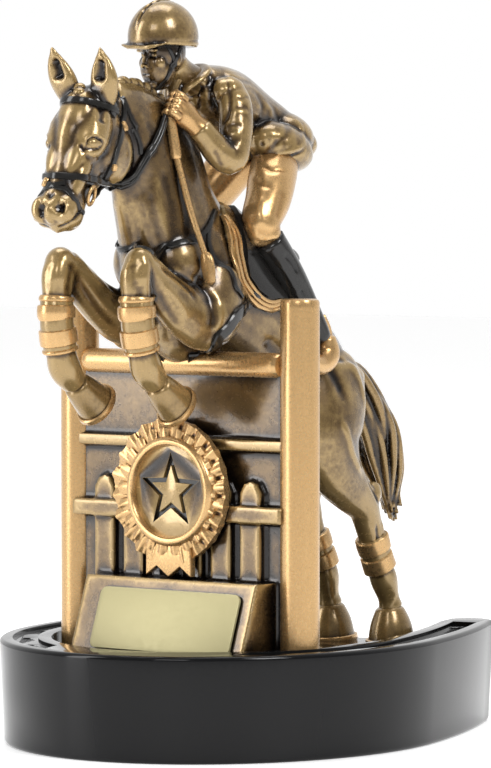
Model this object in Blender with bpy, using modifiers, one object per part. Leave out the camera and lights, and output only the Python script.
"""Show-jumping trophy: a cast horse and rider clearing a fence, on a black horseshoe base.

The casting is one solid (horse, rider, fence, rosette and sloped plaque stand). The base and the
engraving plate are pieces of their own. Metres, +Z up. The horse jumps towards -Y, and the fence
runs along X. The origin is on the underside of the base.
"""

from math import atan2, cos, pi, radians, sin

import bmesh
import bpy
from mathutils import Matrix, Vector

MM = 0.001
TOUCH_GAP = 0.3 * MM

# Horseshoe base
BASE_HEIGHT = 26.0 * MM
BASE_HALF_WIDTH = 55.4 * MM
BASE_TOE = 68.5 * MM
BASE_HEEL = 64.0 * MM
HEEL_HALF_WIDTH = 47.5 * MM
BRANCH_WIDTH = 13.0 * MM
WEB_BACK = 51.0 * MM
BASE_TURN = radians(17.0)
RECESS_DEPTH = 5.0 * MM
WALL_DRAFT = 1.2 * MM
EDGE_ROUND = 1.0 * MM
GROOVE_WIDTH = 6.4 * MM
GROOVE_DEPTH = 1.0 * MM
NAIL_LENGTH = 4.2 * MM
NAIL_WIDTH = 1.8 * MM
NAIL_DEPTH = 1.2 * MM
NAILS_PER_BRANCH = 4

# Fence
FENCE_X = 4.7 * MM
FENCE_Y = -22.0 * MM
FENCE_SPAN = 71.0 * MM
POST_RADIUS = 4.8 * MM
POST_HEIGHT = 89.5 * MM
PANEL_THICKNESS = 5.0 * MM
RAIL_RADIUS = 3.1 * MM
RAIL_HEIGHT = 73.2 * MM
BAR_HEIGHT = 53.6 * MM
BAR_DEPTH = 2.8 * MM
PICKET_COUNT = 6
PICKET_WIDTH = 6.3 * MM
PICKET_PITCH = 9.4 * MM
PICKET_HEIGHT = 44.6 * MM
PICKET_DEPTH = 2.2 * MM
CROSS_HEIGHT = 36.7 * MM
CROSS_DEPTH = 4.2 * MM
WEB_WIDTH = 8.0 * MM
WEB_DEPTH = 4.0 * MM
WEB_HEIGHT = 80.0 * MM
BAR_RISE = 0.8 * MM
OVERLAP = 1.0 * MM
CROSS_RISE = 0.7 * MM

# Rosette
ROSETTE_HEIGHT = 41.8 * MM
ROSETTE_RADIUS = 17.4 * MM
RING_RADIUS = 13.5 * MM
DISC_RADIUS = 11.4 * MM
ROSETTE_DEPTH = 4.0 * MM
PLEAT_COUNT = 22
STAR_RADIUS = 9.4 * MM
STAR_LINE = 0.9 * MM
DISC_SINK = 1.2 * MM
STAR_SINK = 2.0 * MM
RIBBON_WIDTH = 11.6 * MM

# Plaque stand and its plate
STAND_WIDTH = 55.0 * MM
STAND_HEIGHT = 20.3 * MM
STAND_TOP_REACH = 10.0 * MM
STAND_SLOPE_REACH = 7.0 * MM
STAND_SHIFT = 2.7 * MM
PLATE_SHIFT = 4.3 * MM
PLATE_WIDTH = 44.6 * MM
PLATE_HEIGHT = 15.6 * MM
PLATE_THICKNESS = 0.6 * MM
PLATE_CORNER = 1.8 * MM

# Horse and rider: the pose keeps its shares of this height, floor to helmet top
FIGURE_HEIGHT = 162.5 * MM
SOLE_FLAT = 0.4 * MM
FIGURE_VOXEL = 0.95 * MM
TACK_VOXEL = 0.75 * MM
MUSCLE_ROUNDS = 4
TACK_ROUNDS = 1
FIGURE_TRIANGLES = 6600
SIDES = 18

FLOOR_Z = BASE_HEIGHT - RECESS_DEPTH
STAND_Z = FLOOR_Z + TOUCH_GAP

COLOURS = {
    "bronze": ((0.20, 0.135, 0.06, 1), 0.42, 0.85),
    "gloss_black": ((0.006, 0.006, 0.007, 1), 0.12, 0.0),
    "plate_gold": ((0.62, 0.54, 0.27, 1), 0.3, 0.8),
}


def clear_scene():
    for old in list(bpy.data.objects):
        bpy.data.objects.remove(old, do_unlink=True)


def new_collection(name):
    made = bpy.data.collections.new(name)
    bpy.context.scene.collection.children.link(made)
    return made


def material(name):
    colour, rough, metal = COLOURS[name]
    made = bpy.data.materials.new(name)
    made.use_nodes = True
    shader = made.node_tree.nodes["Principled BSDF"]
    shader.inputs["Base Color"].default_value = colour
    shader.inputs["Roughness"].default_value = rough
    shader.inputs["Metallic"].default_value = metal
    return made


def object_from(bm, name, collection):
    mesh = bpy.data.meshes.new(name)
    bmesh.ops.recalc_face_normals(bm, faces=bm.faces)
    bm.to_mesh(mesh)
    bm.free()
    made = bpy.data.objects.new(name, mesh)
    collection.objects.link(made)
    return made


def settle(obj):
    """Replaces the object's mesh by its evaluated one and drops the modifiers."""
    bpy.context.view_layer.update()
    graph = bpy.context.evaluated_depsgraph_get()
    mesh = bpy.data.meshes.new_from_object(obj.evaluated_get(graph))
    obj.modifiers.clear()
    obj.data = mesh
    return obj


def helper(obj):
    obj.hide_render = True
    obj.display_type = "WIRE"
    return obj


def prism(name, outline, low, high, collection):
    """A closed solid from a plan outline between two heights."""
    bm = bmesh.new()
    rings = [[bm.verts.new((x, y, z)) for x, y in outline] for z in (low, high)]
    count = len(outline)
    bm.faces.new(rings[0])
    bm.faces.new(rings[1])
    for i in range(count):
        j = (i + 1) % count
        bm.faces.new((rings[0][i], rings[0][j], rings[1][j], rings[1][i]))
    return object_from(bm, name, collection)


def boolean(target, tool, operation, solver="EXACT"):
    cut = target.modifiers.new(operation.lower(), "BOOLEAN")
    cut.operation = operation
    cut.object = tool
    cut.solver = solver
    return cut


# Horseshoe outline


def half_width_at(along):
    """Half width of the outer outline, from the toe (negative) to the heels."""
    if along < 0:
        return BASE_HALF_WIDTH * max(0.0, 1 - (along / BASE_TOE) ** 2) ** 0.5
    return BASE_HALF_WIDTH - (BASE_HALF_WIDTH - HEEL_HALF_WIDTH) * (along / BASE_HEEL) ** 2


def branch_line(inset, back, steps):
    """Right-hand points of the outline moved inwards, from the toe to the given place."""
    points = []
    for i in range(steps + 1):
        turn = pi / 2 * i / steps
        width = (BASE_HALF_WIDTH - inset) * sin(turn)
        points.append((width, -(BASE_TOE - inset) * cos(turn)))
    rows = 8
    for i in range(1, rows + 1):
        along = back * i / rows
        points.append((half_width_at(along) - inset, along))
    return points


def horseshoe(inset):
    """The closed plan outline, with rounded heels and the open back between them."""
    heel = BASE_HEEL - BRANCH_WIDTH / 2
    right = branch_line(inset, heel, 16)
    middle = half_width_at(heel) - BRANCH_WIDTH / 2
    radius = BRANCH_WIDTH / 2 - inset
    for i in range(1, 7):
        turn = pi * i / 6
        right.append((middle + radius * cos(turn), heel + radius * sin(turn)))
    right.append((middle - radius, WEB_BACK - inset))
    left = [(-x, y) for x, y in reversed(right[1:])]
    return right + left


def turned(points):
    c, s = cos(BASE_TURN), sin(BASE_TURN)
    return [(c * a - s * b, s * a + c * b) for a, b in points]


def loft_rings(rings, name, collection):
    """A closed solid through plan rings at rising heights: [(outline, z), ...]."""
    bm = bmesh.new()
    rows = [[bm.verts.new((x, y, z)) for x, y in outline] for outline, z in rings]
    bm.faces.new(rows[0])
    bm.faces.new(rows[-1])
    for low, high in zip(rows, rows[1:]):
        for i in range(len(low)):
            j = (i + 1) % len(low)
            bm.faces.new((low[i], low[j], high[j], high[i]))
    return object_from(bm, name, collection)


def groove_band(side):
    """Plan outline of the groove along one branch, between toe and heel."""
    first = (BRANCH_WIDTH - GROOVE_WIDTH) / 2
    outer = branch_line(first, BASE_HEEL - BRANCH_WIDTH, 16)[5:]
    inner = branch_line(first + GROOVE_WIDTH, BASE_HEEL - BRANCH_WIDTH, 16)[6:]
    return [(side * x, y) for x, y in outer + inner[::-1]]


def nail_places():
    """Centre and direction of the nail holes of the right branch."""
    line = branch_line(BRANCH_WIDTH / 2, BASE_HEEL - BRANCH_WIDTH, 16)[8:]
    step = (len(line) - 3) / (NAILS_PER_BRANCH - 1)
    places = []
    for i in range(NAILS_PER_BRANCH):
        k = 1 + int(round(i * step))
        ahead = line[min(k + 1, len(line) - 1)]
        behind = line[k - 1]
        places.append((line[k], atan2(ahead[1] - behind[1], ahead[0] - behind[0])))
    return places


def seat_plans():
    """Plan outlines of the pockets that let the posts and the stand down to the floor."""
    plans = []
    reach = POST_RADIUS + TOUCH_GAP
    for side in (-1, 1):
        middle = FENCE_X + side * FENCE_SPAN / 2
        angles = [2 * pi * i / 24 for i in range(24)]
        plans.append([(middle + reach * cos(t), FENCE_Y + reach * sin(t)) for t in angles])
    half = STAND_WIDTH / 2 + TOUCH_GAP
    left, right = FENCE_X + STAND_SHIFT - half, FENCE_X + STAND_SHIFT + half
    front = FENCE_Y - STAND_TOP_REACH - STAND_SLOPE_REACH - TOUCH_GAP
    plans.append([(left, front), (right, front), (right, FENCE_Y), (left, FENCE_Y)])
    return plans


def make_base(parts, cutters):
    low, high = WALL_DRAFT, 0.0
    rings = [
        (turned(horseshoe(low + EDGE_ROUND)), 0.0),
        (turned(horseshoe(low)), EDGE_ROUND),
        (turned(horseshoe(high)), BASE_HEIGHT - EDGE_ROUND),
        (turned(horseshoe(high + EDGE_ROUND * 0.3)), BASE_HEIGHT - EDGE_ROUND * 0.3),
        (turned(horseshoe(high + EDGE_ROUND)), BASE_HEIGHT),
    ]
    base = loft_rings(rings, "base", parts)
    inner = branch_line(BRANCH_WIDTH, BASE_HEEL - BRANCH_WIDTH, 16)
    inner.append((inner[-1][0], BASE_HEEL * 1.2))
    floor_plan = inner + [(-x, y) for x, y in reversed(inner[1:])]
    recess = prism("recess_cut", turned(floor_plan), FLOOR_Z, BASE_HEIGHT * 1.2, cutters)
    boolean(base, helper(recess), "DIFFERENCE")
    depth = BASE_HEIGHT - GROOVE_DEPTH
    for side in (-1, 1):
        band = prism("groove_cut", turned(groove_band(side)), depth, BASE_HEIGHT * 1.2, cutters)
        boolean(base, helper(band), "DIFFERENCE")
    holes = bmesh.new()
    for side in (-1, 1):
        for (x, y), turn in nail_places():
            place = Matrix.Rotation(BASE_TURN, 4, "Z")
            place @= Matrix.Translation((side * x, y, depth))
            place @= Matrix.Rotation(side * turn, 4, "Z")
            place @= Matrix.Diagonal((NAIL_LENGTH, NAIL_WIDTH, 2 * NAIL_DEPTH, 1))
            bmesh.ops.create_cube(holes, size=1.0, matrix=place)
    nails = object_from(holes, "nail_cut", cutters)
    boolean(base, helper(nails), "DIFFERENCE")
    for seat in seat_plans():
        pocket = prism("seat_cut", seat, FLOOR_Z, BASE_HEIGHT * 1.2, cutters)
        boolean(base, helper(pocket), "DIFFERENCE")
    settle(base)
    base.data.materials.append(material("gloss_black"))
    return base


# Fence, rosette and plaque stand, drawn in the fence's own frame


def fence_box(bm, left, right, front, back, low, high):
    size = Vector((right - left, back - front, high - low))
    middle = Vector(((left + right) / 2, (front + back) / 2, (low + high) / 2))
    bmesh.ops.create_cube(bm, size=1.0, matrix=Matrix.Translation(middle) @ Matrix.Diagonal((*size, 1)))


def upright_plate(name, outline, front, back, collection):
    """A closed solid from an outline in X and Z, between two depths."""
    bm = bmesh.new()
    rings = [[bm.verts.new((x, y, z)) for x, z in outline] for y in (front, back)]
    bm.faces.new(rings[0])
    bm.faces.new(rings[1])
    for i in range(len(outline)):
        j = (i + 1) % len(outline)
        bm.faces.new((rings[0][i], rings[0][j], rings[1][j], rings[1][i]))
    return object_from(bm, name, collection)


def rounded_rod(name, start, end, radius, collection, sides=20):
    """A round rod with softened ends."""
    way = end - start
    soft = radius * 0.25
    profile = [(0, 0), (radius - soft, 0), (radius, soft)]
    profile += [(radius, way.length - soft), (radius - soft, way.length), (0, way.length)]
    bm = bmesh.new()
    rows = []
    for across, along in profile:
        if across == 0:
            rows.append([bm.verts.new((0, 0, along))])
            continue
        ring = []
        for i in range(sides):
            turn = 2 * pi * i / sides
            ring.append(bm.verts.new((across * cos(turn), across * sin(turn), along)))
        rows.append(ring)
    join_rows(bm, rows)
    bm.transform(Matrix.Translation(start) @ way.to_track_quat("Z", "Y").to_matrix().to_4x4())
    return object_from(bm, name, collection)


def join_rows(bm, rows):
    """Faces between neighbouring rings; a ring of one point closes as a fan."""
    for low, high in zip(rows, rows[1:]):
        count = max(len(low), len(high))
        for i in range(count):
            j = (i + 1) % count
            corners = []
            for row, picks in ((low, (i, j)), (high, (j, i))):
                if len(row) == 1:
                    corners.append(row[0])
                else:
                    corners.extend(row[k] for k in picks)
            bm.faces.new(corners)


def picket_outline(middle):
    half = PICKET_WIDTH / 2
    top = PICKET_HEIGHT
    return [
        (middle - half, 0.0),
        (middle + half, 0.0),
        (middle + half, top - half * 0.9),
        (middle + half * 0.45, top),
        (middle - half * 0.45, top),
        (middle - half, top - half * 0.9),
    ]


def pleat_outline(radius, bulge):
    points = []
    steps = PLEAT_COUNT * 4
    for i in range(steps):
        turn = 2 * pi * i / steps
        wave = abs(sin(turn * PLEAT_COUNT / 2))
        reach = radius * (1 - bulge + bulge * wave)
        points.append((reach * cos(turn), ROSETTE_HEIGHT + reach * sin(turn)))
    return points


def star_outline(radius):
    points = []
    for i in range(10):
        turn = pi / 2 + pi * i / 5
        reach = radius if i % 2 == 0 else radius * 0.42
        points.append((reach * cos(turn), ROSETTE_HEIGHT + reach * sin(turn)))
    return points


def circle_outline(radius, steps=40):
    angles = [2 * pi * i / steps for i in range(steps)]
    return [(radius * cos(t), ROSETTE_HEIGHT + radius * sin(t)) for t in angles]


def ribbon_outline():
    half = RIBBON_WIDTH / 2
    top = ROSETTE_HEIGHT - RING_RADIUS
    low = ROSETTE_HEIGHT - ROSETTE_RADIUS * 1.17
    notch = PICKET_DEPTH
    return [
        (-half, top),
        (-half, low),
        (-half * 0.5, low + notch),
        (0, low),
        (half * 0.5, low + notch),
        (half, low),
        (half, top),
    ]


def make_fence(cutters):
    """The fence with its rosette and plaque stand as one closed body."""
    half_span = FENCE_SPAN / 2
    front = -PANEL_THICKNESS / 2
    face = front - PICKET_DEPTH
    pieces = []
    bm = bmesh.new()
    fence_box(bm, -half_span, half_span, front, PANEL_THICKNESS / 2, 0, RAIL_HEIGHT)
    fence = object_from(bm, "fence", cutters)
    # A web cast inside the panel and the brisket carries the horse, whatever the rail's height
    web = bmesh.new()
    fence_box(web, -WEB_WIDTH / 2, WEB_WIDTH / 2, front, front + WEB_DEPTH, BAR_HEIGHT, WEB_HEIGHT)
    pieces.append(object_from(web, "web", cutters))
    for side in (-1, 1):
        foot = Vector((side * half_span, 0, 0))
        top = Vector((side * half_span, 0, POST_HEIGHT))
        pieces.append(rounded_rod("post", foot, top, POST_RADIUS, cutters, 24))
    rail_y = front + RAIL_RADIUS * 0.3
    rail_end = half_span - POST_RADIUS * 0.8
    start = Vector((-rail_end, rail_y, RAIL_HEIGHT))
    end = Vector((rail_end, rail_y, RAIL_HEIGHT))
    pieces.append(rounded_rod("rail", start, end, RAIL_RADIUS, cutters, 20))
    bar = bmesh.new()
    low = BAR_HEIGHT - BAR_DEPTH / 2
    fence_box(bar, -half_span, half_span, front - BAR_RISE, 0, low, low + BAR_DEPTH)
    pieces.append(object_from(bar, "bar", cutters))
    cross = bmesh.new()
    reach = half_span - POST_RADIUS * 0.4
    low = CROSS_HEIGHT - CROSS_DEPTH / 2
    fence_box(cross, -reach, reach, face - CROSS_RISE, 0, low, low + CROSS_DEPTH)
    pieces.append(object_from(cross, "cross_rail", cutters))
    for i in range(PICKET_COUNT):
        middle = (i - (PICKET_COUNT - 1) / 2) * PICKET_PITCH
        pieces.append(upright_plate("picket", picket_outline(middle), face, 0, cutters))
    pieces.append(make_stand(cutters))
    pieces.append(upright_plate("pleats", pleat_outline(ROSETTE_RADIUS, 0.05),
                                face - ROSETTE_DEPTH * 0.55, front + OVERLAP, cutters))
    pieces.append(upright_plate("upper_pleats", pleat_outline(ROSETTE_RADIUS * 0.9, 0.05),
                                face - ROSETTE_DEPTH * 0.8, front + OVERLAP * 0.7, cutters))
    pieces.append(upright_plate("ribbon", ribbon_outline(), face - ROSETTE_DEPTH * 0.9,
                                front + OVERLAP * 0.5, cutters))
    pieces.append(upright_plate("ring", circle_outline(RING_RADIUS),
                                face - ROSETTE_DEPTH, front + OVERLAP * 0.4, cutters))
    for piece in pieces:
        boolean(fence, helper(piece), "UNION")
    disc = upright_plate("disc_cut", circle_outline(DISC_RADIUS), face - ROSETTE_DEPTH * 2,
                         face - ROSETTE_DEPTH + DISC_SINK, cutters)
    boolean(fence, helper(disc), "DIFFERENCE")
    star = upright_plate("star_cut", star_outline(STAR_RADIUS), face - ROSETTE_DEPTH * 2,
                         face - ROSETTE_DEPTH + STAR_SINK, cutters)
    core = upright_plate("star_core", star_outline(STAR_RADIUS - 2.6 * STAR_LINE),
                         face - ROSETTE_DEPTH + DISC_SINK, front, cutters)
    boolean(fence, helper(star), "DIFFERENCE")
    boolean(fence, helper(core), "UNION")
    settle(fence)
    fence.data.transform(Matrix.Translation((FENCE_X, FENCE_Y, STAND_Z)))
    return fence


def stand_slope():
    """Angle of the stand's face from upright."""
    return atan2(STAND_SLOPE_REACH, STAND_HEIGHT)


def make_stand(cutters):
    half = STAND_WIDTH / 2
    profile = [
        (-STAND_TOP_REACH - STAND_SLOPE_REACH, 0.0),
        (0.0, 0.0),
        (0.0, STAND_HEIGHT),
        (-STAND_TOP_REACH, STAND_HEIGHT),
    ]
    bm = bmesh.new()
    rings = [[bm.verts.new((x, y, z)) for y, z in profile] for x in (-half, half)]
    bm.faces.new(rings[0])
    bm.faces.new(rings[1])
    for i in range(4):
        j = (i + 1) % 4
        bm.faces.new((rings[0][i], rings[0][j], rings[1][j], rings[1][i]))
    bmesh.ops.translate(bm, verts=bm.verts, vec=(STAND_SHIFT, 0, 0))
    return object_from(bm, "stand", cutters)


def make_plate(parts):
    """The thin engraving plate on the stand's sloping face."""
    half_x, half_z = PLATE_WIDTH / 2 - PLATE_CORNER, PLATE_HEIGHT / 2 - PLATE_CORNER
    outline = []
    for quarter, (sx, sz) in enumerate(((1, 1), (-1, 1), (-1, -1), (1, -1))):
        for i in range(5):
            turn = pi / 2 * (quarter + i / 4)
            outline.append((sx * half_x + PLATE_CORNER * cos(turn), sz * half_z + PLATE_CORNER * sin(turn)))
    plate = upright_plate("name_plate", outline, -TOUCH_GAP - PLATE_THICKNESS, -TOUCH_GAP, parts)
    middle_y = -STAND_TOP_REACH - STAND_SLOPE_REACH / 2
    place = Matrix.Translation((FENCE_X + PLATE_SHIFT, FENCE_Y + middle_y, STAND_Z + STAND_HEIGHT / 2))
    plate.data.transform(place @ Matrix.Rotation(-stand_slope(), 4, "X"))
    plate.data.materials.append(material("plate_gold"))
    return plate


# Horse and rider: stations are (x, y, z, half width, half depth) in millimetres of the posed
# figure, with x across the fence, y from the fence towards the tail and z above the hooves' floor

HORSE = {
    "trunk": [(0, -16, 102, 7, 8), (0, -9, 101, 11, 14), (0, 2, 97.5, 13.2, 18.2),
              (0, 14, 91.6, 13.6, 17.6), (0, 25, 85, 12.8, 15.6), (0, 37, 77.2, 11.8, 14),
              (0, 48, 69.4, 10.4, 12.4), (0, 57.5, 65, 7, 8.5)],
    "neck": [(0, -33.5, 135.6, 4.8, 6.2), (0, -25.5, 131, 5.8, 9.8), (0, -14.5, 123, 6.8, 12),
             (0, -7, 113, 8.6, 15.5), (0, 0, 103, 11, 18.5)],
    "near_fore": [(11.5, 4, 98, 5, 9), (11.5, -3, 88, 5.5, 8), (10.5, -9, 86.5, 5, 7.6),
                  (9.8, -16, 90, 4.4, 6.4), (9.3, -23, 95, 4, 5), (9, -28, 99.4, 3.9, 4.4)],
    "near_cannon": [(9, -27.6, 102, 3.2, 3.4), (9, -29.8, 97.5, 4, 4.2), (9, -30, 92, 3.5, 3.7),
                    (9, -29.7, 87, 3.5, 3.6), (9, -28.8, 82.5, 3.5, 3.6), (9, -27.5, 78, 3.6, 3.8),
                    (9, -26, 74.5, 3.9, 4.1), (9, -22.6, 71, 3.2, 3.3)],
    "near_hoof": [(9, -22, 70.6, 3.4, 3.5), (9, -19.6, 68.6, 3.9, 4.3), (9, -14.6, 64.8, 4.7, 5.3)],
    "far_fore": [(-11.5, 2, 98, 5, 9), (-11.5, -5, 88, 5.5, 8), (-10.5, -13, 86.5, 5, 6.8),
                 (-9.8, -21, 89.5, 4.4, 5.6), (-9.3, -29, 94.6, 4, 4.8), (-9, -36, 99.6, 3.9, 4.4)],
    "far_cannon": [(-9, -35.8, 102, 3.2, 3.4), (-9, -38, 97.5, 4, 4.2), (-9, -38.6, 92, 3.5, 3.6),
                   (-9, -38.8, 87, 3.5, 3.6), (-9, -38, 82.3, 3.5, 3.6), (-9, -37, 78, 3.6, 3.8),
                   (-9, -35.6, 74.5, 3.9, 4.1), (-9, -32, 71, 3.2, 3.3)],
    "far_hoof": [(-9, -31.4, 70.6, 3.4, 3.5), (-9, -28.8, 68.8, 3.9, 4.3),
                 (-9, -23.8, 65.2, 4.7, 5.3)],
    "near_hind": [(7.5, 45, 72, 7, 13.5), (10, 43.5, 63, 6.8, 12), (11, 42.5, 55, 6.2, 9.6),
                  (11, 46, 48, 5, 7.2), (10.5, 51, 42.6, 4.2, 5.8), (10, 57, 37.2, 3.6, 4.7),
                  (9.6, 60, 31.5, 3.1, 3.9), (9.2, 62.2, 27, 3.1, 3.5), (9, 64.6, 22.5, 3.1, 3.4),
                  (9, 67, 17.8, 3.3, 3.9), (9, 69, 13, 2.8, 3.2), (9, 69.8, 10.6, 3.4, 3.9)],
    "near_hind_hoof": [(9, 69.6, 10.4, 3.5, 4), (9, 70, 7.5, 4.1, 4.7), (9, 70.3, 1.6, 4.9, 5.7)],
    "far_hind": [(-7.5, 46, 72, 7, 13.5), (-10, 44.5, 63, 6.8, 12), (-11, 43.5, 55, 6.2, 9.6),
                 (-11, 47, 48, 5, 7.2), (-10.5, 52, 42.6, 4.2, 5.8), (-10, 58, 37.2, 3.6, 4.7),
                 (-9.6, 60, 31.5, 3.1, 3.9), (-9.2, 61.8, 27, 3.1, 3.5), (-9, 63.8, 22.5, 3.1, 3.4),
                 (-9, 65.6, 17.8, 3.3, 3.9), (-9, 66.8, 13, 2.8, 3.2), (-9, 67.6, 10.6, 3.4, 3.9)],
    "far_hind_hoof": [(-9, 67.6, 10.4, 3.5, 4), (-9, 68, 7.5, 4.1, 4.7), (-9, 68.3, 1.6, 4.9, 5.7)],
    "tail": [(0, 57, 73, 3, 3), (0, 62.5, 71.6, 3.6, 4), (0, 68, 66, 4.8, 6), (0, 71.4, 59, 5.6, 7.4),
             (0, 73.4, 51.5, 5.6, 7.8), (0, 74.6, 44, 4.6, 6), (0, 77, 38.5, 3, 3.6),
             (0, 79, 34.5, 1.2, 1.4)],
}

RIDER = {
    "torso": [(-0.6, 34.5, 127.6, 8.6, 6.6), (-0.6, 30.5, 131, 9, 7.2), (-0.6, 23, 135.2, 7.8, 6.8),
              (-0.6, 14.5, 138.6, 9, 7.6), (-0.4, 7, 141.4, 9.8, 6.4), (0, 2.5, 143.8, 5.8, 4.6)],
    "neck": [(0, 3, 144, 4.4, 4.6), (0, -3, 146.5, 3.6, 3.9), (0, -7, 149, 3.8, 4)],
    "near_arm": [(8, 6, 142.4, 3.8, 4), (10.6, 5.4, 138.6, 4.1, 4.4), (12.4, 4, 133.4, 4, 4.3),
                 (13.2, 1.2, 128.2, 3.5, 4), (12.4, -2, 129, 3.4, 3.7), (10.8, -5, 131.6, 3.2, 3.4),
                 (9, -8, 134.2, 2.6, 2.8)],
    "near_hand": [(9.2, -7.8, 134, 2.4, 2.6), (7.4, -11, 136.4, 2.6, 2.9), (5.6, -14, 138.6, 2.6, 3.6)],
    "far_arm": [(-9.5, 8.5, 143.3, 4, 4), (-12.5, 6, 139, 4.2, 4.2), (-14, 2, 134, 3.8, 4),
                (-13, -2.6, 131.8, 3.4, 3.5), (-9.6, -7, 133.6, 2.8, 2.9), (-6, -10.6, 135.6, 2.4, 2.5)],
    "far_hand": [(-6.2, -10.4, 135.4, 2.3, 2.4), (-3.6, -13, 137.2, 2.6, 2.8), (-1.4, -15, 138.4, 2.4, 3.2)],
    "near_thigh": [(4.4, 31.5, 129.6, 6, 6.4), (8.4, 26.5, 126.6, 6.8, 7), (11.4, 21, 121, 6.5, 6.6),
                   (13.4, 16, 115.4, 5.9, 6.1), (14.8, 11.6, 110.2, 5, 5.2), (15, 11.4, 106.4, 4.2, 4.4)],
    "near_boot": [(15, 11.4, 108, 4, 4.2), (15.4, 14.6, 102, 4.3, 4.5), (15.6, 19, 96.5, 4.3, 4.3),
                  (15.6, 24.8, 91, 3.8, 3.9), (15.6, 30.2, 86, 3.1, 3.2), (15.8, 32.6, 82.6, 3.2, 3.4)],
    "near_foot": [(15.8, 36, 80.4, 2.8, 3.2), (16, 31, 79.6, 3, 3.2), (16.4, 25.6, 77.4, 3.1, 2.6),
                  (16.6, 22, 76.2, 2.4, 1.8)],
    "far_thigh": [(-5, 35, 130, 6, 6.4), (-8.6, 30.5, 124.5, 6.2, 6.4), (-11.6, 26, 118, 5.8, 6),
                  (-14, 19.5, 112.6, 5.4, 5.6), (-15.4, 14, 109, 4.6, 4.8)],
    "far_boot": [(-15.6, 13.4, 108, 4, 4.2), (-15.8, 16.5, 102, 4.3, 4.5), (-15.6, 20.5, 96.5, 4.4, 4.4),
                 (-15.4, 25.8, 91, 3.8, 3.9), (-15.4, 31.2, 86, 3.1, 3.2), (-15.6, 33.4, 82.6, 3.2, 3.4)],
    "far_foot": [(-15.6, 36.6, 80.4, 2.8, 3.2), (-15.8, 31.6, 79.6, 3, 3.2), (-16.2, 26, 77.4, 3.1, 2.6),
                 (-16.4, 22.4, 76.2, 2.4, 1.8)],
}

# Ovals: centre, radii across, along and up, and a lean about the X axis in degrees
OVALS = {
    "shoulder": ((0, 1, 96, 13.8, 12.5, 15.5), -20),
    "brisket": ((0, -3, 84.5, 9.5, 8, 10), 20),
    "near_elbow": ((11.2, -5.6, 83.4, 4.6, 6, 4.6), 30),
    "far_elbow": ((-11.2, -8.6, 83.4, 4.6, 6, 4.6), 30),
    "croup": ((0, 43.5, 77.2, 9.5, 13, 9), -36),
    "near_hock": ((9.9, 60.6, 39.4, 2.6, 2.6, 3.4), -30),
    "far_hock": ((-9.9, 61.2, 39.4, 2.6, 2.6, 3.4), -30),
    "saddle": ((0, 24, 102.5, 8.5, 12.5, 3.8), -32),
    "cantle": ((0, 34.5, 100.4, 6.5, 3, 3.6), -32),
    "jacket_skirt": ((-0.4, 33.4, 131, 11.6, 10.4, 6.2), -14),
    "helmet": ((0, -9.4, 155.6, 7.9, 9.2, 8.9), 0),
    "skull": ((0, -9.6, 151, 5.4, 6.4, 7), 0),
    "jaw": ((0, -12.6, 146.2, 4.2, 4.2, 4.4), 0),
}

# The tables above are in millimetres of the pose; the sole and the helmet's top set its size
POSED_SOLE = HORSE["near_hind_hoof"][-1][2] + 0.4
POSED_HEIGHT = OVALS["helmet"][0][2] + OVALS["helmet"][0][5] - POSED_SOLE
FIGURE_SCALE = FIGURE_HEIGHT / POSED_HEIGHT

# Horse's head in its own frame: down the face, out of the face, half width, half depth
HEAD_POLL = (0, -36.7, 137.2)
HEAD_TILT = radians(37)
HEAD_TURN = radians(12)
HEAD_STATIONS = [(-1.5, -2, 4, 4), (3, -1.2, 5.4, 6.6), (8, -1.6, 6.1, 7.6), (12, -2, 6, 7.7),
                 (16.5, -1.6, 4.9, 6.6), (21, -0.8, 3.9, 5.1), (25.5, -0.6, 3.7, 4.5),
                 (30, -0.6, 4.1, 4.7), (33.6, -1.2, 3.9, 4.4), (36, -1.8, 2.6, 3)]

# Ovals of the head: across, out of the face and down it, then the three radii
HEAD_OVALS = {
    "eye": (5.2, 2.0, 10.6, 1.7, 2.0, 2.4),
    "cheek": (3.4, -6.6, 11.0, 2.8, 6.0, 6.2),
    "nostril": (2.7, 1.9, 31.2, 1.7, 1.9, 2.4),
}
EARS = (((4.4, -36.4, 140.0), (5.4, -39.2, 152.0)), ((-4.4, -38.2, 140.4), (-6.4, -43.6, 152.2)))

# Straps and thin parts: points with one radius, in the same millimetres
TACK = {
    "near_rein": ([(4.6, -46, 116), (6.4, -36, 118.6), (7.6, -28.4, 124), (6.6, -20, 131),
                   (5.6, -14.6, 137)], 0.75),
    "far_rein": ([(-2.2, -47.4, 116), (-6.6, -37, 118.6), (-7.4, -29, 124), (-4.6, -20, 131),
                  (-1.6, -15, 137)], 0.75),
    "whip": ([(7.4, -12.4, 135.6), (9.2, -10, 128.6), (11.2, -9.4, 118), (13.8, -9.6, 107),
              (14.8, -9.4, 103.6)], 0.8),
    "flap": ([(15, -9.4, 103.6), (15.4, -9, 99.6), (15.8, -8.6, 95.4)], 1.5),
    "handle": ([(6.6, -13.4, 139), (9.4, -9.8, 127.6)], 1.3),
    "breast_strap": ([(-11.4, -9, 106), (-8.6, -17, 105.4), (-1, -20.4, 104.6), (7, -17.6, 105),
                      (11.6, -8, 107.6), (13, 2, 108), (13.6, 10, 104)], 1.1),
    "near_girth": ([(13.4, 12.6, 103), (14.6, 9, 96), (14.2, 3, 88), (10, -2, 80.4),
                    (0, -5, 78.4)], 2.0),
    "far_girth": ([(-13.4, 12.6, 103), (-14.6, 9, 96), (-14.2, 3, 88), (-10, -2, 80.4),
                   (0, -5, 78.4)], 2.0),
    "near_stirrup": ([(16.2, 27, 86), (16.4, 24.6, 78), (16.6, 29, 74), (16.4, 36.6, 75.4),
                      (16.2, 34, 84)], 1.2),
    "far_stirrup": ([(-16.2, 27.4, 86), (-16.4, 25, 78), (-16.6, 29.4, 74), (-16.4, 37, 75.4),
                     (-16.2, 34.4, 84)], 1.2),
}

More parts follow.
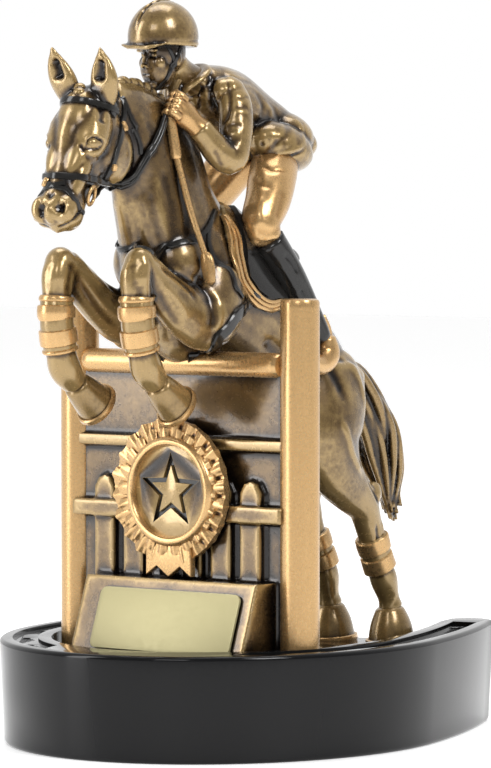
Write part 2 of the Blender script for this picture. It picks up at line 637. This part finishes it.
BAND_RISE = 0.8
BAND_HALF = 1.5
BOOT_BANDS = (("near_cannon", 88.4), ("near_cannon", 82.4), ("far_cannon", 88.4),
              ("far_cannon", 82.4), ("near_hind", 26.6), ("near_hind", 22.4),
              ("far_hind", 26.6), ("far_hind", 22.4))


def sleeve(bm, stations, flat_end=False):
    """A closed tube through oval sections. Each station is (centre, half width, half depth)."""
    rows = []
    last = len(stations) - 1
    for i, (centre, wide, deep) in enumerate(stations):
        ahead = stations[min(i + 1, last)][0]
        behind = stations[max(i - 1, 0)][0]
        along = (ahead - behind).normalized()
        across = Vector((1, 0, 0))
        across = (across - along * across.dot(along)).normalized()
        depth = along.cross(across)
        if i == 0:
            rows.append([bm.verts.new(centre - along * min(wide, deep) * 0.6)])
        ring = []
        for k in range(SIDES):
            turn = 2 * pi * k / SIDES
            ring.append(bm.verts.new(centre + across * wide * cos(turn) + depth * deep * sin(turn)))
        rows.append(ring)
        if i == last:
            dome = 0 if flat_end else min(wide, deep) * 0.6
            rows.append([bm.verts.new(centre + along * dome)])
    join_rows(bm, rows)


def posed(x, y, z):
    return Vector((x, y, z))


def smooth_path(points, count):
    """Points along a Catmull-Rom curve through the given ones."""
    ends = [points[0] * 2 - points[1]] + points + [points[-1] * 2 - points[-2]]
    path = []
    spans = len(points) - 1
    for i in range(count + 1):
        place = min(i * spans / count, spans - 1e-6)
        k = int(place)
        t = place - k
        a, b, c, d = ends[k:k + 4]
        path.append(0.5 * (2 * b + (c - a) * t + (2 * a - 5 * b + 4 * c - d) * t * t
                           + (3 * b - a - 3 * c + d) * t ** 3))
    return path


def add_tube(bm, points, radius):
    spots = [posed(*p) for p in points]
    path = smooth_path(spots, len(points) * 4)
    sleeve(bm, [(p, radius, radius) for p in path])


def add_oval(bm, place, lean):
    x, y, z, across, along, up = place
    matrix = Matrix.Translation((x, y, z)) @ Matrix.Rotation(radians(lean), 4, "X")
    matrix @= Matrix.Diagonal((across, along, up, 1))
    bmesh.ops.create_uvsphere(bm, u_segments=SIDES, v_segments=12, radius=1, matrix=matrix)


def head_matrix():
    """Head frame: X across, Y out of the face, Z up the face, with its origin at the poll."""
    return (Matrix.Translation(HEAD_POLL) @ Matrix.Rotation(HEAD_TURN, 4, "Z")
            @ Matrix.Rotation(-HEAD_TILT, 4, "X") @ Matrix.Rotation(pi, 4, "Z"))


def add_head(bm):
    place = head_matrix()
    skin = bmesh.new()
    sleeve(skin, [(Vector((0, out, -down)), wide, deep) for down, out, wide, deep in HEAD_STATIONS])
    for side in (-1, 1):
        for across, out, down, *radii in HEAD_OVALS.values():
            add_oval(skin, (side * across, out, -down, *radii), 0)
    skin.transform(place)
    mesh = bpy.data.meshes.new("head")
    skin.to_mesh(mesh)
    skin.free()
    bm.from_mesh(mesh)


def add_ears(bm):
    for root, tip in EARS:
        low, high = posed(*root), posed(*tip)
        sleeve(bm, [(low, 2.1, 1.9), (low.lerp(high, 0.25), 2.5, 2.0), (low.lerp(high, 0.5), 2.5, 1.7),
                    (low.lerp(high, 0.78), 1.6, 1.2), (high, 0.35, 0.35)])


def add_peak(bm):
    rows = []
    for reach, rise in ((-6.0, 153.2), (-9.6, 153.2), (-11.8, 152.4)):
        rows.append((posed(0, -9.4 + reach, rise), 6.2 if reach > -11 else 4.6, 0.9))
    sleeve(bm, rows)


def station_at(name, height):
    """Centre and half width of a leg where it passes the given height."""
    line = HORSE[name]
    for low, high in zip(line, line[1:]):
        if min(low[2], high[2]) <= height <= max(low[2], high[2]):
            share = (height - low[2]) / (high[2] - low[2])
            spot = [a + (b - a) * share for a, b in zip(low, high)]
            way = (posed(*high[:3]) - posed(*low[:3])).normalized()
            return posed(*spot[:3]), way, max(spot[3:])
    return None


def add_bands(bm):
    for name, height in BOOT_BANDS:
        centre, way, half = station_at(name, height)
        wide = half + BAND_RISE
        edge = wide * 0.96
        near, far = way * BAND_HALF * 0.67, way * BAND_HALF
        sleeve(bm, [(centre - far, edge, edge), (centre - near, wide, wide),
                    (centre + near, wide, wide), (centre + far, edge, edge)])


def drop_crumbs(obj):
    """Keeps the largest shell of a mesh and deletes loose slivers."""
    bm = bmesh.new()
    bm.from_mesh(obj.data)
    waiting = set(bm.verts)
    shells = []
    while waiting:
        shell = [waiting.pop()]
        for vert in shell:
            for edge in vert.link_edges:
                other = edge.other_vert(vert)
                if other in waiting:
                    waiting.remove(other)
                    shell.append(other)
        shells.append(shell)
    shells.sort(key=len)
    for shell in shells[:-1]:
        bmesh.ops.delete(bm, geom=shell, context="VERTS")
    bm.to_mesh(obj.data)
    bm.free()


def organic(name, fill, voxel, rounds, cutters):
    """Fuses overlapping closed forms into one skin and softens it."""
    bm = bmesh.new()
    fill(bm)
    made = object_from(bm, name, cutters)
    fuse = made.modifiers.new("fuse", "REMESH")
    fuse.mode = "VOXEL"
    fuse.voxel_size = voxel / MM
    soften = made.modifiers.new("soften", "SMOOTH")
    soften.factor = 0.5
    soften.iterations = rounds
    return settle(made)


def fill_muscles(bm):
    for name, stations in list(HORSE.items()) + list(RIDER.items()):
        line = [(posed(x, y, z), wide, deep) for x, y, z, wide, deep in stations]
        sleeve(bm, line, flat_end="hoof" in name)
    for place, lean in OVALS.values():
        add_oval(bm, place, lean)
    add_head(bm)


def make_animals(cutters):
    """Horse and rider in one skin: the muscles are softened first, then the tack is laid on."""
    body = organic("muscles", fill_muscles, FIGURE_VOXEL, MUSCLE_ROUNDS, cutters)

    def fill_all(bm):
        bm.from_mesh(body.data)
        add_ears(bm)
        add_peak(bm)
        add_bands(bm)
        for points, radius in TACK.values():
            add_tube(bm, points, radius)

    whole = organic("animals", fill_all, TACK_VOXEL, TACK_ROUNDS, cutters)
    helper(body)
    thin = whole.modifiers.new("thin", "DECIMATE")
    triangles = sum(len(face.vertices) - 2 for face in whole.data.polygons)
    thin.ratio = FIGURE_TRIANGLES / triangles
    settle(whole)
    drop_crumbs(whole)
    sole = POSED_SOLE * FIGURE_SCALE
    shift = Matrix.Translation((FENCE_X, FENCE_Y, STAND_Z - sole))
    whole.data.transform(shift @ Matrix.Scale(FIGURE_SCALE, 4))
    for point in whole.data.vertices:
        if point.co.z < STAND_Z + SOLE_FLAT:
            point.co.z = STAND_Z
    return whole


def make_figure(parts, cutters):
    fence = make_fence(cutters)
    animals = make_animals(cutters)
    figure = bpy.data.objects.new("figure", fence.data.copy())
    parts.objects.link(figure)
    boolean(figure, helper(animals), "UNION")
    helper(fence)
    settle(figure)
    figure.data.materials.clear()
    figure.data.materials.append(material("bronze"))
    figure.data.shade_smooth()
    figure.data.set_sharp_from_angle(angle=radians(40))
    return figure


def main():
    clear_scene()
    parts = new_collection("horse_trophy")
    cutters = new_collection("cutters")
    make_base(parts, cutters)
    make_figure(parts, cutters)
    make_plate(parts)


main()
